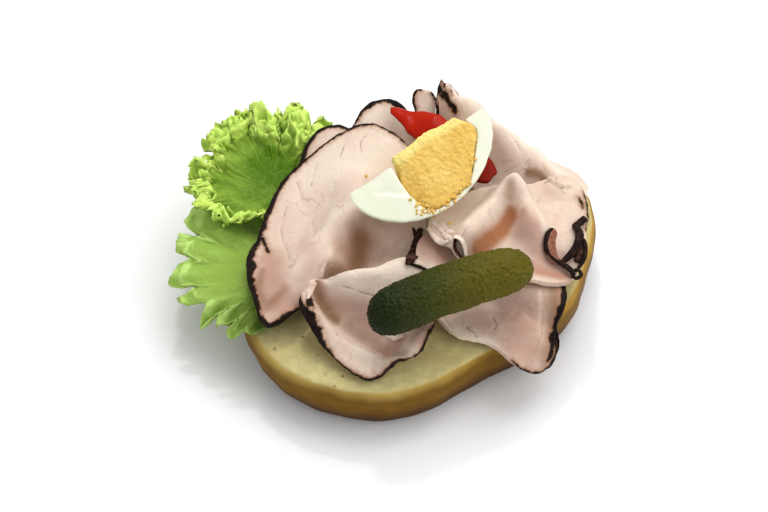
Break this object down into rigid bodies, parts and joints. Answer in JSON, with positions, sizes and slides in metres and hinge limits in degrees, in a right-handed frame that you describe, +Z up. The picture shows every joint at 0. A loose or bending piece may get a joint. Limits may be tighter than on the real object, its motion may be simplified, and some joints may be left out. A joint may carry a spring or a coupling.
{
  "type": "open sandwich",
  "caption": "Open sandwich: oval roll half with lettuce, folded roast pork slices, a red pepper strip, an egg wedge and a gherkin.",
  "frame": {"origin": "middle of the roll's flat underside", "axes": "+Z up, the front with the gherkin faces -Y, the lettuce lies towards -X"},
  "size_m": [0.1343, 0.1036, 0.0571],
  "materials": {
    "crust": "dry, soft baked crust",
    "lettuce": "fresh leaf, slightly waxy",
    "pork": "moist cooked meat with a dark spiced rind",
    "pepper": "wet and glossy",
    "egg_white": "smooth and slightly moist",
    "egg_yolk": "dry and crumbly",
    "gherkin": "wet, bumpy skin"
  },
  "bodies": {
    "root": {"bread": "crust", "lettuce_front": "lettuce", "lettuce_back": "lettuce", "pork_back": "pork", "pork_back_left": "pork", "pork_back_middle": "pork", "pork_back_right": "pork", "pork_left": "pork", "pork_right_front": "pork", "pork_right": "pork", "pork_front": "pork", "pork_curl": "pork", "pepper_strip": "pepper", "egg_white": "egg_white", "egg_yolk": "egg_yolk", "gherkin": "gherkin"}
  },
  "joints": []
}
